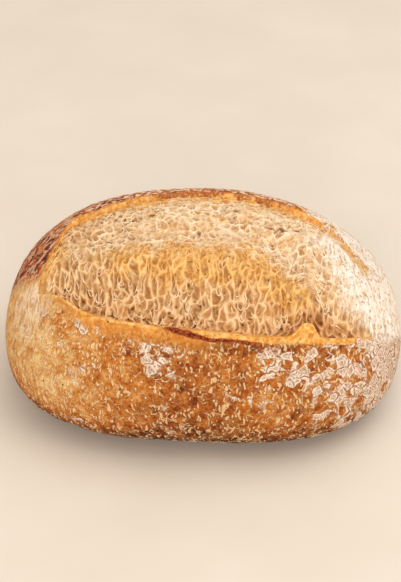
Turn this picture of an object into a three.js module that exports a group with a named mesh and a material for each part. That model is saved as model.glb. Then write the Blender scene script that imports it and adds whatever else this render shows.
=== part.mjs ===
// An oval sourdough loaf: proofed in a basket, slashed once along its length and baked on a flat stone.
// Units are millimetres. +X runs along the loaf, -Y is the side that the slash faces, +Z is up.
// The origin is on the flat base, under the middle of the loaf.
//
// The loaf is one solid. Each section across it is a ring of angles round the long axis: 0 degrees is the
// front, 90 the top, 180 the back and 270 (or -90) the base. The slash opened into a wide bloom of torn
// crumb between two lips of crust, with a second fold rising along its middle.

import * as THREE from "three";
import { mergeVertices } from "three/addons/utils/BufferGeometryUtils.js";

const { clamp, degToRad, lerp, smoothstep } = THREE.MathUtils;

// Driving dimensions of the plain dome, before the slash opened
const LENGTH = 245;
const WIDTH = 182;
const HEIGHT = 120;
const WIDEST_AT = 40; // height of the level at which the loaf is widest
const SAG = 10.5; // how far the round underside would reach below the stone that flattens it

// How square each outline is: 2 is an ellipse, and more is squarer
const PLAN_POWER = 2.6;
const UNDERSIDE_POWER = { left: 3.0, right: 3.3 };
const DOME_POWER = { left: 2.14, right: 1.82 };
const LOW_SECTION_POWER = 2.44;
const HIGH_SECTION_POWER = 2.06;

// A stretch of the loaf is given by two places, x from and x to, over which something fades in, or by four,
// where it also fades out again.

// Lips of the slash: the angle at which each one runs, and its bow over a span of 75 mm
const BOW_SPAN = 75;
const NEAR_LIP = { angle: 37, x: 25, bow: 5, height: 3.2, fades: 13, along: [-92, -62, 86, 106] };
const NEAR_CLIMB = { by: 8, over: [-56, -92] };
const FAR_LIP = { angle: 108.5, x: 30, bow: -4, height: 1.8, fades: 30, along: [-108, -80, 76, 98] };
const FAR_LEFT_FALL = { by: -34, over: [-80, -100] };
const FAR_RIGHT_FALL = { by: -12, over: [76, 100] };
const NARROWEST = 5; // the fewest degrees between the lips, at the tips of the loaf
const LIP_TOP = 3; // width of a lip before it slopes away into the crust
const LIP_WALL = 2.5; // thickness of torn crust, from a lip's edge down into the bloom

// Bloom: heights over the dome, placed by the share of the way from the near lip to the far lip
const BLOOM = { along: [-102, -66, 70, 106] };
const NEAR_POCKET = { depth: 9, from: 0.05, beforeFold: 0.03 };
const FAR_POCKET = { depth: 1.4, from: 0.74, to: 0.93 };
const FOLD = { height: 3.2, at: 0.4, halfWidth: 0.11, along: [-84, -44, 54, 76] };
const FOLD_DROP = { by: 0.2, over: [28, 66] };
const VALLEY = { depth: 3.2, pastFold: 0.24, halfWidth: 0.12 };

// A tab of crust that tore loose: a peak of the near lip, so many degrees high, baked onto the bloom
const TAB = { x: 62, at: 0.1, height: 3.6, halfLength: 9, halfWidth: 0.07 };
const TAB_PEAK = { by: 6.5, along: [49, 62, 64, 71] };

// Unevenness of the surface
const CRAGS = { height: 0.9, size: 3.4 }; // torn crumb
const SWELLS = { height: 0.8, size: 17 }; // skin of the crust

// Where the surface keeps to the dome, so that the loaf keeps its length and width
const END_POWER = 8; // how close to the ends the heights reach: more is closer
const WIDEST_SINES = [0.05, 0.5]; // sines of the angles between which the heights set in

// Mesh density
const STATIONS = 74;
const BACK_STEPS = 19;
const BLOOM_STEPS = 28;
const FRONT_STEPS = 19;

const BASE_ANGLE = 270;
const END_CROWDING = 1.8; // above 1 sets the sections closer together towards the ends
const LIP_CROWDING = 0.6; // from 0 to 1, how much closer the steps of the bloom stand at the lips
const FRONT_CROWDING = 1.3; // above 1 sets the steps closer together towards the near lip
const WELD_WITHIN = 1e-3; // points closer than this are one point

// 1 in the middle of the loaf and 0 at its ends, along an outline as square as the power says.
function taper(share, power) {
  return (1 - Math.abs(share) ** power) ** (1 / power);
}

// 1 at the centre, falling away smoothly on both sides.
function bump(value, centre, halfWidth) {
  return Math.exp(-(((value - centre) / halfWidth) ** 2));
}

// 0 before a stretch of two places and 1 past it, in either direction.
function ease(x, [from, to]) {
  const share = clamp((x - from) / (to - from), 0, 1);
  return smoothstep(share, 0, 1);
}

// 1 in the middle of a stretch of four places, and 0 outside it.
function between(x, [inFrom, inTo, outFrom, outTo]) {
  return ease(x, [inFrom, inTo]) * (1 - ease(x, [outFrom, outTo]));
}

// Soft, uneven lumps from a few crossing waves, between -1 and 1.
function lumps(along, round, size) {
  const a = along / size;
  const b = round / size;
  const crossing = Math.sin(a + 1.3 * Math.sin(b / 1.7)) * Math.sin(b - 0.8 * Math.sin(a / 1.3 + 2));
  return (crossing + 0.5 * Math.sin((a + b) / 1.9 + 0.6)) / 1.5;
}

// The near lip bows down along the front, climbs towards the left end and peaks in the tab.
function nearLipAngle(x) {
  const bow = NEAR_LIP.bow * ((x - NEAR_LIP.x) / BOW_SPAN) ** 2;
  const climb = NEAR_CLIMB.by * ease(x, NEAR_CLIMB.over);
  return NEAR_LIP.angle + bow + climb + TAB_PEAK.by * between(x, TAB_PEAK.along);
}

// The far lip runs just behind the top, and comes forward at both ends, above all at the left one.
function farLipAngle(x) {
  const bow = FAR_LIP.bow * ((x - FAR_LIP.x) / BOW_SPAN) ** 2;
  const leftFall = FAR_LEFT_FALL.by * ease(x, FAR_LEFT_FALL.over);
  const rightFall = FAR_RIGHT_FALL.by * ease(x, FAR_RIGHT_FALL.over);
  return Math.max(FAR_LIP.angle + bow + leftFall + rightFall, nearLipAngle(x) + NARROWEST);
}

// A point of the plain dome, on the section at x and at an angle round it.
function domePoint(x, angle) {
  const share = x / (LENGTH / 2);
  const side = x < 0 ? "left" : "right";
  const cos = Math.cos(degToRad(angle));
  const sin = Math.sin(degToRad(angle));
  const low = sin < 0;
  const power = low ? LOW_SECTION_POWER : HIGH_SECTION_POWER;
  const reach = (Math.abs(cos) ** power + Math.abs(sin) ** power) ** (-1 / power);
  const halfWidth = (WIDTH / 2) * taper(share, PLAN_POWER);
  const halfHeight = low
    ? (WIDEST_AT + SAG) * taper(share, UNDERSIDE_POWER[side])
    : (HEIGHT - WIDEST_AT) * taper(share, DOME_POWER[side]);
  return new THREE.Vector3(x, -halfWidth * reach * cos, WIDEST_AT + halfHeight * reach * sin);
}

// Height of the torn crumb over the dome, at a share of the way across a bloom so many mm wide.
function bloomHeight(x, share, width) {
  const opened = between(x, BLOOM.along);
  const folded = between(x, FOLD.along);
  const foldAt = FOLD.at - FOLD_DROP.by * ease(x, FOLD_DROP.over);
  const pocketEnd = foldAt - NEAR_POCKET.beforeFold;
  const nearPocket = NEAR_POCKET.depth * (1 - smoothstep(share, NEAR_POCKET.from, pocketEnd));
  const farPocket = FAR_POCKET.depth * smoothstep(share, FAR_POCKET.from, FAR_POCKET.to);
  const fold = FOLD.height * folded * bump(share, foldAt, FOLD.halfWidth);
  const valley = VALLEY.depth * folded * bump(share, foldAt + VALLEY.pastFold, VALLEY.halfWidth);
  const tab = TAB.height * bump(x, TAB.x, TAB.halfLength) * bump(share, TAB.at, TAB.halfWidth);
  const crags = CRAGS.height * lumps(x, share * width, CRAGS.size);
  return opened * (fold + tab + crags - nearPocket - farPocket - valley);
}

// Height of the crust over a point of the dome, at so many mm from the lip on its side.
function crustHeight(point, isFront, fromLip) {
  const { x, y, z } = point;
  const lip = isFront ? NEAR_LIP : FAR_LIP;
  const swell = SWELLS.height * lumps(x, y + z, SWELLS.size) * smoothstep(fromLip, 0, lip.fades);
  return lip.height * between(x, lip.along) * (1 - smoothstep(fromLip, LIP_TOP, lip.fades)) + swell;
}

// A point of the loaf: the dome, raised or sunk by what the slash and the oven did to it.
function loafPoint(x, angle) {
  const point = domePoint(x, angle);
  const near = nearLipAngle(x);
  const far = farLipAngle(x);
  const mmPerDegree = degToRad(Math.hypot(point.y, point.z - WIDEST_AT));
  const pastNear = (angle - near) * mmPerDegree;
  const beforeFar = (far - angle) * mmPerDegree;
  const torn = smoothstep(pastNear, 0, LIP_WALL) * smoothstep(beforeFar, 0, LIP_WALL);
  const crumb = bloomHeight(x, (angle - near) / (far - near), (far - near) * mmPerDegree);
  const isFront = angle < (near + far) / 2;
  const crust = crustHeight(point, isFront, Math.max(isFront ? -pastNear : -beforeFar, 0));

  const cos = Math.cos(degToRad(angle));
  const sin = Math.sin(degToRad(angle));
  const free = (1 - Math.abs(x / (LENGTH / 2)) ** END_POWER) * ease(Math.abs(sin), WIDEST_SINES);
  const height = lerp(crust, crumb, torn) * free;
  return point.set(x, point.y - height * cos, Math.max(point.z + height * sin, 0));
}

// Place of a section along the loaf, from the right end (0) to the left end (1).
function stationX(share) {
  const fromMiddle = 1 - 2 * share;
  return Math.sign(fromMiddle) * (LENGTH / 2) * (1 - (1 - Math.abs(fromMiddle)) ** END_CROWDING);
}

// Angles round a section, from the base over the back, the bloom and the front, towards the base again.
// The two lips always have an angle of their own.
function ringAngles(x) {
  const near = nearLipAngle(x);
  const far = farLipAngle(x);
  const angles = [];
  for (let i = 0; i < BACK_STEPS; i++) {
    angles.push(lerp(BASE_ANGLE, far, i / BACK_STEPS));
  }
  for (let i = 0; i < BLOOM_STEPS; i++) {
    const even = i / BLOOM_STEPS;
    angles.push(lerp(far, near, lerp(even, smoothstep(even, 0, 1), LIP_CROWDING)));
  }
  for (let i = 0; i < FRONT_STEPS; i++) {
    angles.push(lerp(near, BASE_ANGLE - 360, (i / FRONT_STEPS) ** FRONT_CROWDING));
  }
  return angles;
}

// A sphere's grid, its poles along X, with every vertex moved onto the loaf.
function loafGeometry() {
  const around = BACK_STEPS + BLOOM_STEPS + FRONT_STEPS;
  const geometry = new THREE.SphereGeometry(1, around, STATIONS);
  geometry.deleteAttribute("normal");
  geometry.deleteAttribute("uv");
  const position = geometry.getAttribute("position");
  for (let row = 0; row <= STATIONS; row++) {
    const x = stationX(row / STATIONS);
    const ring = ringAngles(x).map((angle) => loafPoint(x, angle));
    ring.push(ring[0]);
    ring.forEach(({ y, z }, column) => position.setXYZ(row * (around + 1) + column, x, y, z));
  }
  const welded = mergeVertices(geometry, WELD_WITHIN);
  welded.computeVertexNormals();
  return welded;
}

const crustMaterial = new THREE.MeshStandardMaterial({ color: 0xc4873f, roughness: 0.8, metalness: 0 });

const loaf = new THREE.Mesh(loafGeometry(), crustMaterial);
loaf.name = "sourdough_loaf";

const part = new THREE.Group();
part.add(loaf);

export default part;
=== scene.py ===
# %% [markdown]
# An oval sourdough loaf. It was proofed in a floured basket, slashed once along its length and baked on a
# stone. The slash opened into a wide bloom of torn crumb between two lips of crust.
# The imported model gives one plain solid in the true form. This script dresses it with three pieces in
# the same form: the baked crust, the torn crumb between its lips, and the loose strands on the crumb.

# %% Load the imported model
import itertools
import math

import bpy
import numpy as np
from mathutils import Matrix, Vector
from mathutils.kdtree import KDTree


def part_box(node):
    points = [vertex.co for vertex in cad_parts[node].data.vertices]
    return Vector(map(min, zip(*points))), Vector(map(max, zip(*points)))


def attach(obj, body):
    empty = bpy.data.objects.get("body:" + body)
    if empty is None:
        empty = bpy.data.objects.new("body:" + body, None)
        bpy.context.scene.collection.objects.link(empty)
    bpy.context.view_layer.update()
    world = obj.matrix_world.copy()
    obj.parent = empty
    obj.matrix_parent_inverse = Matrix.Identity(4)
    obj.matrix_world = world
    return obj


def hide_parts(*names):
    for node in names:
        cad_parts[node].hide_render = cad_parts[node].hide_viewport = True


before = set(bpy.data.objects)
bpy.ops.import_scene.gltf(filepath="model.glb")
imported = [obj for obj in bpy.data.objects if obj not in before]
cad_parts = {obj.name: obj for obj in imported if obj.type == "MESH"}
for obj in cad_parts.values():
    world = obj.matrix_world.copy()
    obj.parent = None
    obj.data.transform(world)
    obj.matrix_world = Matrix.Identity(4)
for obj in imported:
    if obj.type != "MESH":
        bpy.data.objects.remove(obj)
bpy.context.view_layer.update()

bpy.ops.object.select_all(action="DESELECT")
scene = bpy.context.scene
scene.view_settings.view_transform = "Standard"

# %% [markdown]
# The camera looks down on the loaf from the front, a little from its right. A long lens far away keeps the
# loaf free of perspective. Its place was fitted to the loaf's outline, and a small shift frames it.

# %% Camera
LOOKS_AT = Vector((0, 0, 0.05))
TURN = math.radians(2.6)
RISE = math.radians(37)
DISTANCE = 0.85
LENS = 84.4
SHIFT_X = -0.005
SHIFT_Y = 0.031

away = Vector((math.sin(TURN) * math.cos(RISE), -math.cos(TURN) * math.cos(RISE), math.sin(RISE)))
bpy.ops.object.camera_add(location=LOOKS_AT + DISTANCE * away)
camera = bpy.context.object
camera.name = "camera"
camera.rotation_euler = (-away).to_track_quat("-Z", "Y").to_euler()
camera.data.lens = LENS
camera.data.shift_x = SHIFT_X
camera.data.shift_y = SHIFT_Y
scene.camera = camera
print("camera at", [round(value, 3) for value in camera.location])

# %% [markdown]
# The light is soft: one broad lamp above, a little to the right, a weak one in front that fills the shade,
# and an even, warm glow from all round. The shadow then falls to the left and stays close to the loaf.

# %% Light
LAMPS = {
    "top_light": {"at": (0.44, -0.05, 1.5), "size": 1.3, "power": 9.6},
    "front_fill": {"at": (0.1, -2.2, 0.9), "size": 1.6, "power": 20.0},
}
GLOW = 0.74
LAMP_WHITE = (0.95, 1.0, 1.03)
GLOW_WHITE = (1.0, 0.905, 0.82)

for name, lamp in LAMPS.items():
    bpy.ops.object.light_add(type="AREA", location=lamp["at"])
    light = bpy.context.object
    light.name = name
    light.data.size = lamp["size"]
    light.data.energy = lamp["power"]
    light.data.color = LAMP_WHITE
    light.rotation_euler = (Vector(lamp["at"]) - LOOKS_AT).to_track_quat("Z", "Y").to_euler()
world = bpy.data.worlds.new("even_glow")
world.use_nodes = True
world.node_tree.nodes["Background"].inputs["Color"].default_value = (*GLOW_WHITE, 1)
world.node_tree.nodes["Background"].inputs["Strength"].default_value = GLOW
scene.world = world
print("lamps:", ", ".join(LAMPS))

# %% [markdown]
# A finish is built from nodes. The small class below is the workbench for it: each of its methods adds one
# node and gives back the output, so that a recipe reads from top to bottom. Patterns are measured in
# millimetres on the loaf itself, so they stay on the surface from every side.


# %% Workbench for finishes
MM = 0.001  # a millimetre, in metres
SEED_STEP = (13.7, 7.1, 3.3)


def tone(red, green, blue):
    """The colour that a screen shows as these bytes, as Blender's linear light, by the screens' own curve."""
    shares = (value / 255 for value in (red, green, blue))
    linear = [s / 12.92 if s <= 0.04045 else ((s + 0.055) / 1.055) ** 2.4 for s in shares]
    return (*linear, 1)


class Finish:
    """A material in the making. Each method adds one node and returns its output."""

    def __init__(self, name):
        self.material = bpy.data.materials.new(name)
        self.material.use_nodes = True
        self.nodes = self.material.node_tree.nodes
        self.links = self.material.node_tree.links
        self.shader = self.nodes["Principled BSDF"]
        metres = self.add("ShaderNodeTexCoord").outputs["Object"]
        self.surface = self.scale(metres, (1 / MM, 1 / MM, 1 / MM))

    def add(self, kind, inputs=None, **settings):
        node = self.nodes.new(kind)
        for name, value in settings.items():
            setattr(node, name, value)
        for name, value in (inputs or {}).items():
            self.feed(node.inputs[name], value)
        return node

    def feed(self, socket, value):
        if isinstance(value, bpy.types.NodeSocket):
            self.links.new(value, socket)
        else:
            socket.default_value = value

    def scale(self, vector, factors):
        return self.add("ShaderNodeVectorMath", {0: vector, 1: factors}, operation="MULTIPLY").outputs[0]

    def shifted(self, vector, offset):
        return self.add("ShaderNodeVectorMath", {0: vector, 1: offset}, operation="ADD").outputs[0]

    def maths(self, operation, *values):
        return self.add("ShaderNodeMath", dict(enumerate(values)), operation=operation).outputs[0]

    def sum(self, first, second):
        return self.maths("ADD", first, second)

    def difference(self, first, second):
        return self.maths("SUBTRACT", first, second)

    def product(self, first, second):
        return self.maths("MULTIPLY", first, second)

    def larger(self, first, second):
        return self.maths("MAXIMUM", first, second)

    def size_of(self, value):
        return self.maths("ABSOLUTE", value)

    def attribute(self, name):
        return self.add("ShaderNodeAttribute", attribute_name=name).outputs["Fac"]

    def noise(self, size, detail=2.0, rough=0.5, where=None, seed=0.0):
        place = self.shifted(where or self.surface, tuple(seed * step for step in SEED_STEP))
        inputs = {"Vector": place, "Scale": 1 / size, "Detail": detail, "Roughness": rough}
        return self.add("ShaderNodeTexNoise", inputs).outputs["Fac"]

    def warped(self, amount, size, where=None):
        """The surface's coordinates, pushed about by noise, so that a pattern on them curls."""
        place = where or self.surface
        push = self.add("ShaderNodeTexNoise", {"Vector": place, "Scale": 1 / size, "Detail": 1.0})
        centred = self.shifted(push.outputs["Color"], (-0.5, -0.5, -0.5))
        moved = self.scale(centred, (2 * amount, 2 * amount, 2 * amount))
        return self.shifted(place, moved)

    def cells(self, size, where=None, feature="F1"):
        """A Voronoi pattern: distances in cell widths, and each cell's own random colour."""
        inputs = {"Vector": where or self.surface, "Scale": 1 / size}
        return self.add("ShaderNodeTexVoronoi", inputs, feature=feature)

    def lot(self, cells):
        """Each cell's own random number."""
        return self.add("ShaderNodeSeparateColor", {0: cells.outputs["Color"]}).outputs[0]

    def rise(self, value, start, end):
        """0 up to start, 1 from end on, and an eased step between them. It falls where end is less."""
        inputs = {"Value": value, "From Min": start, "From Max": end}
        return self.add("ShaderNodeMapRange", inputs, interpolation_type="SMOOTHSTEP").outputs["Result"]

    def blend(self, under, over, share):
        """One colour over another. Sockets 6 and 7 take the node's two colours, and 2 gives their mix."""
        node = self.add("ShaderNodeMix", data_type="RGBA")
        self.feed(node.inputs["Factor"], share)
        self.feed(node.inputs[6], under)
        self.feed(node.inputs[7], over)
        return node.outputs[2]

    def ramp(self, value, stops):
        """A colour for each value: stops maps a value to a colour."""
        node = self.add("ShaderNodeValToRGB", {0: value})
        band = node.color_ramp.elements
        while len(band) < len(stops):
            band.new(0.5)
        for element, (position, colour) in zip(band, sorted(stops.items())):
            element.position = position
            element.color = colour
        return node.outputs["Color"]

    def relief(self, height, depth):
        """A bump: height runs from 0 to 1, and depth is its size in millimetres."""
        inputs = {"Height": height, "Distance": depth * MM, "Strength": 1.0}
        return self.add("ShaderNodeBump", inputs).outputs["Normal"]

    def wear(self, piece):
        piece.data.materials.clear()
        piece.data.materials.append(self.material)


# %% [markdown]
# The loaf stands on a plain pale floor. It is wide, so that it fills the view, and lies a hair under the
# loaf's base, so that the two don't flicker.

# %% Floor
FLOOR_SIZE = 30.0
FLOOR_GAP = 0.0002
CLOUD_SIZE = 90  # millimetres
CLOUD_TONES = {0.3: tone(229, 217, 200), 0.7: tone(234, 223, 208)}

bpy.ops.mesh.primitive_plane_add(size=FLOOR_SIZE, location=(0, 0, -FLOOR_GAP))
floor = bpy.context.object
floor.name = "floor"
stone = Finish("pale_floor")
cloud = stone.noise(CLOUD_SIZE, detail=3)
stone.feed(stone.shader.inputs["Base Color"], stone.ramp(cloud, CLOUD_TONES))
stone.feed(stone.shader.inputs["Roughness"], 0.9)
stone.wear(floor)
print("floor of", FLOOR_SIZE, "m")

# %% [markdown]
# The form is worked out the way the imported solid's form is, from the same named sizes, in millimetres.
# Each section across the loaf is a ring of angles round the long axis: 0 degrees is the front, 90 the top,
# 180 the back, and 270 or -90 the base. A height is then laid on that plain dome, away from the axis.

# %% Sizes of the plain dome
low_corner, high_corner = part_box("sourdough_loaf")
HALF_LENGTH = (high_corner[0] - low_corner[0]) / 2 / MM
HALF_WIDTH = (high_corner[1] - low_corner[1]) / 2 / MM
TOP_ROOM = 0.5  # the scene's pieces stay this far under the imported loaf's top
HIGHEST = high_corner[2] / MM - TOP_ROOM
HEIGHT = 120
WIDEST_AT = 40
SAG = 10.5
PLAN_POWER = 2.6
UNDERSIDE_POWER = {"left": 3.0, "right": 3.3}
DOME_POWER = {"left": 2.14, "right": 1.82}
LOW_SECTION_POWER = 2.44
HIGH_SECTION_POWER = 2.06
print("half length and half width, in mm:", round(HALF_LENGTH, 1), round(HALF_WIDTH, 1))

# %% Sizes of the lips and the bloom
# A stretch has two places, over which something sets in, or four, where it also ends again.
BOW_SPAN = 75
NEAR_LIP = {"angle": 37, "x": 25, "bow": 5, "height": 3.2, "fades": 13, "along": (-92, -62, 86, 106)}
NEAR_CLIMB = {"by": 8, "over": (-56, -92)}
FAR_LIP = {"angle": 108.5, "x": 30, "bow": -4, "height": 1.8, "fades": 30, "along": (-108, -80, 76, 98)}
FAR_LEFT_FALL = {"by": -34, "over": (-80, -100)}
FAR_RIGHT_FALL = {"by": -12, "over": (76, 100)}
NARROWEST = 5  # the fewest degrees between the lips, at the loaf's tips
LIP_TOP = 3
LIP_WALL = 1.6
BLOOM = {"along": (-102, -66, 70, 106)}
NEAR_POCKET = {"depth": 9, "from": 0.05, "before_fold": 0.03}
FAR_POCKET = {"depth": 1.4, "from": 0.74, "to": 0.93}
FOLD = {"height": 3.2, "at": 0.4, "half_width": 0.11, "along": (-84, -44, 54, 76)}
FOLD_DROP = {"by": 0.2, "over": (28, 66)}
VALLEY = {"depth": 3.2, "past_fold": 0.24, "half_width": 0.12}
TAB = {"x": 62, "at": 0.1, "height": 3.6, "half_length": 9, "half_width": 0.07}
TAB_PEAK = {"by": 6.5, "along": (49, 62, 64, 71)}
SWELLS = {"height": 0.8, "size": 17}
# The lips' edges wave. Each wave has a height in degrees, a length in millimetres and a seed.
NEAR_WAVES = [(0.5, 7, 1), (0.25, 2.4, 2)]
FAR_WAVES = [(0.6, 9, 3), (0.35, 3, 4)]


# %% Helpers for shapes
def ease(value, start, end):
    """0 before start, 1 after end, and an eased step between them."""
    share = np.clip((value - start) / (end - start), 0, 1)
    return share * share * (3 - 2 * share)


def between(value, in_from, in_to, out_from, out_to):
    return ease(value, in_from, in_to) * (1 - ease(value, out_from, out_to))


def bump(value, centre, half_width):
    return np.exp(-(((value - centre) / half_width) ** 2))


def taper(share, power):
    """How much of the full size is left at a share of the half length."""
    return (1 - np.minimum(np.abs(share), 1) ** power) ** (1 / power)


def lumps(along, round_, size):
    """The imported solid's own low swells, from -1 to 1."""
    a = along / size
    b = round_ / size
    crossing = np.sin(a + 1.3 * np.sin(b / 1.7)) * np.sin(b - 0.8 * np.sin(a / 1.3 + 2))
    return (crossing + 0.5 * np.sin((a + b) / 1.9 + 0.6)) / 1.5


def mark(piece, name, values):
    """Keeps a number from 0 to 1 at every point, for the finish to read."""
    layer = piece.data.attributes.new(name, "FLOAT", "POINT")
    layer.data.foreach_set("value", np.clip(values, 0, 1).astype(np.float32))


# %% Random unevenness
SEED_SHIFT = 5.37
LATTICE = 32
HEAP = np.random.default_rng(11).uniform(-1, 1, (LATTICE, LATTICE, LATTICE))


def rough(size, *places, seed=0):
    """Smooth random noise from -1 to 1, with lumps about size across."""
    spot = np.stack(np.broadcast_arrays(*places, *[0.0] * (3 - len(places))), -1) / size + SEED_SHIFT * seed
    cell = np.floor(spot).astype(int)
    part = spot - cell
    part = part * part * (3 - 2 * part)
    total = 0
    for corner in itertools.product((0, 1), repeat=3):
        weight = np.prod(np.where(corner, part, 1 - part), axis=-1)
        i, j, k = np.moveaxis((cell + corner) % LATTICE, -1, 0)
        total = total + weight * HEAP[i, j, k]
    return total


def rougher(size, *places, seed=0):
    """Noise in three sizes, each half the last."""
    return sum(rough(size / 2**n, *places, seed=seed + n) / 2**n for n in range(3)) / 1.75


def waves(each, *places):
    return sum(height * rough(size, *places, seed=seed) for height, size, seed in each)


# %% The plain dome
def tab_peak(x):
    return TAB_PEAK["by"] * between(x, *TAB_PEAK["along"])


def near_lip(x):
    bow = NEAR_LIP["bow"] * ((x - NEAR_LIP["x"]) / BOW_SPAN) ** 2
    climb = NEAR_CLIMB["by"] * ease(x, *NEAR_CLIMB["over"])
    return NEAR_LIP["angle"] + bow + climb + waves(NEAR_WAVES, x) + tab_peak(x)


def far_lip(x):
    bow = FAR_LIP["bow"] * ((x - FAR_LIP["x"]) / BOW_SPAN) ** 2
    left_fall = FAR_LEFT_FALL["by"] * ease(x, *FAR_LEFT_FALL["over"])
    right_fall = FAR_RIGHT_FALL["by"] * ease(x, *FAR_RIGHT_FALL["over"])
    angle = FAR_LIP["angle"] + bow + left_fall + right_fall + waves(FAR_WAVES, x)
    return np.maximum(angle, near_lip(x) + NARROWEST)


def dome(x, angle):
    """Depth and height of the dome at each x and ring angle, in millimetres."""
    share = x / HALF_LENGTH
    is_left = x < 0
    cos = np.cos(np.radians(angle))
    sin = np.sin(np.radians(angle))
    is_low = sin < 0
    power = np.where(is_low, LOW_SECTION_POWER, HIGH_SECTION_POWER)
    reach = (np.abs(cos) ** power + np.abs(sin) ** power) ** (-1 / power)
    half_width = HALF_WIDTH * taper(share, PLAN_POWER)
    underside = np.where(is_left, UNDERSIDE_POWER["left"], UNDERSIDE_POWER["right"])
    upper = np.where(is_left, DOME_POWER["left"], DOME_POWER["right"])
    half_height = np.where(
        is_low, (WIDEST_AT + SAG) * taper(share, underside), (HEIGHT - WIDEST_AT) * taper(share, upper)
    )
    return -half_width * reach * cos, WIDEST_AT + half_height * reach * sin


# %% Heights over the dome
def fold_at(x):
    return FOLD["at"] - FOLD_DROP["by"] * ease(x, *FOLD_DROP["over"])


def bloom_height(x, share):
    """Height of the bloom, by the share of the way from the near lip to the far lip."""
    opened = between(x, *BLOOM["along"])
    folded = between(x, *FOLD["along"])
    crest = fold_at(x)
    pocket_end = crest - NEAR_POCKET["before_fold"]
    near_pocket = NEAR_POCKET["depth"] * (1 - ease(share, NEAR_POCKET["from"], pocket_end))
    far_pocket = FAR_POCKET["depth"] * ease(share, FAR_POCKET["from"], FAR_POCKET["to"])
    fold = FOLD["height"] * folded * bump(share, crest, FOLD["half_width"])
    valley = VALLEY["depth"] * folded * bump(share, crest + VALLEY["past_fold"], VALLEY["half_width"])
    tab = TAB["height"] * bump(x, TAB["x"], TAB["half_length"]) * bump(share, TAB["at"], TAB["half_width"])
    return opened * (fold + tab - near_pocket - far_pocket - valley)


def lip_height(x, is_front, from_lip):
    """Height of the crust by its distance from the edge of the nearer lip."""
    near, far = (
        lip["height"] * between(x, *lip["along"]) * (1 - ease(from_lip, LIP_TOP, lip["fades"]))
        for lip in (NEAR_LIP, FAR_LIP)
    )
    return np.where(is_front, near, far)


def lift(x, angle, height):
    """Points in metres: the dome at x and angle, with a height laid on it away from the long axis."""
    y, z = dome(x, angle)
    cos = np.cos(np.radians(angle))
    sin = np.sin(np.radians(angle))
    return np.stack([x, y - height * cos, np.clip(z + height * sin, 0, HIGHEST)], -1) * MM


# %% [markdown]
# The crumb is what the oven tore open: a web of stretched strands round open cells. In the lower part of
# the bloom the cells are long and run across the slash, and above the fold they are round and fine. The
# pattern is worked out here for any point of the bloom, because the crust takes it over at the bloom's ends.


# %% A web of cells
ROUNDING = 0.28  # how far the corners of the cells are filled, in millimetres, as in foam
TABLE = 64  # the cells' random places repeat after this many
INSET = 0.05  # how far a cell's middle keeps from the edges of its own square, as a share


def cell_web(u, v, width, height, seed):
    """For cells about width by height: each point's distance to its cell's wall, the cell's lot, and the
    distance to the cell's middle as a share of its size."""
    u = u / width
    v = v / height
    table = np.random.default_rng(seed).uniform(INSET, 1 - INSET, (TABLE, TABLE, 3))
    home_u = np.floor(u).astype(int)
    home_v = np.floor(v).astype(int)

    def centre(step_u, step_v):
        drawn = table[(home_u + step_u) % TABLE, (home_v + step_v) % TABLE]
        return home_u + step_u + drawn[:, 0] - u, home_v + step_v + drawn[:, 1] - v, drawn[:, 2]

    closest = np.full(len(u), np.inf)
    own_u, own_v, lot = np.zeros(len(u)), np.zeros(len(u)), np.zeros(len(u))
    for step in itertools.product((-1, 0, 1), repeat=2):
        to_u, to_v, drawn = centre(*step)
        nearer = to_u**2 + to_v**2 < closest
        closest = np.where(nearer, to_u**2 + to_v**2, closest)
        own_u, own_v, lot = np.where(nearer, [to_u, to_v, drawn], [own_u, own_v, lot])
    nearness = np.zeros(len(u))
    for step in itertools.product(range(-2, 3), repeat=2):
        to_u, to_v, _ = centre(*step)
        over_u, over_v = to_u - own_u, to_v - own_v
        span = np.maximum(np.hypot(over_u / width, over_v / height), 1e-6)
        halfway = ((to_u + own_u) * over_u + (to_v + own_v) * over_v) / 2
        nearness += np.where(span > 1e-5, np.exp(-halfway / span / ROUNDING), 0)
    wall = np.maximum(-ROUNDING * np.log(np.maximum(nearness, 1e-30)), 0)
    return wall, lot, np.sqrt(closest)


# %% Layers of cells
# Sizes are in millimetres: strand is a wall's half width. Gone is the share of the cells that are left out.
LONG_CELLS = {"width": 3.9, "height": 9.6, "strand": 0.58, "depth": 1.9, "gone": 0.0, "seed": 41}
MID_CELLS = {"width": 2.6, "height": 3.9, "strand": 0.42, "depth": 0.8, "gone": 0.72, "seed": 42}
ROUND_CELLS = {"width": 5.0, "height": 5.0, "strand": 0.46, "depth": 1.5, "gone": 0.15, "seed": 43}
FINE_CELLS = {"width": 2.4, "height": 2.6, "strand": 0.4, "depth": 0.6, "gone": 0.5, "seed": 44}
SMALL_STRANDS = 0.75  # how strong the strands of the smaller cells are


def sunk(u, v, layer):
    """Strands on the walls of a layer, and floors sunk to a depth that differs from cell to cell."""
    wall, lot, _ = cell_web(u, v, layer["width"], layer["height"], layer["seed"])
    web = np.exp(-((wall / layer["strand"]) ** 2))
    floor = 1 - np.exp(-((wall / (2.0 * layer["strand"])) ** 1.5))
    kept = ease(lot, layer["gone"] - 0.05, layer["gone"] + 0.05)
    return web * kept, -layer["depth"] * (0.35 + 0.9 * lot) * floor * kept


def layered(u, v, larger, smaller):
    """Strands and floors of two layers together."""
    large_web, large_floor = sunk(u, v, larger)
    small_web, small_floor = sunk(u, v, smaller)
    return np.maximum(large_web, SMALL_STRANDS * small_web), large_floor + small_floor


# %% The floured right end
WHITE = {"along": (54, 100), "angle": (34, 50, 116, 146)}
WHITE_LEAN = {"by": 0.6, "about": 74, "up_to": 100}  # its border leans, by so much a degree
WHITE_RIM = {"gone": 0.9, "before_far": (-1.5, 0, 5, 13), "ends": (94, 108)}


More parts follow.
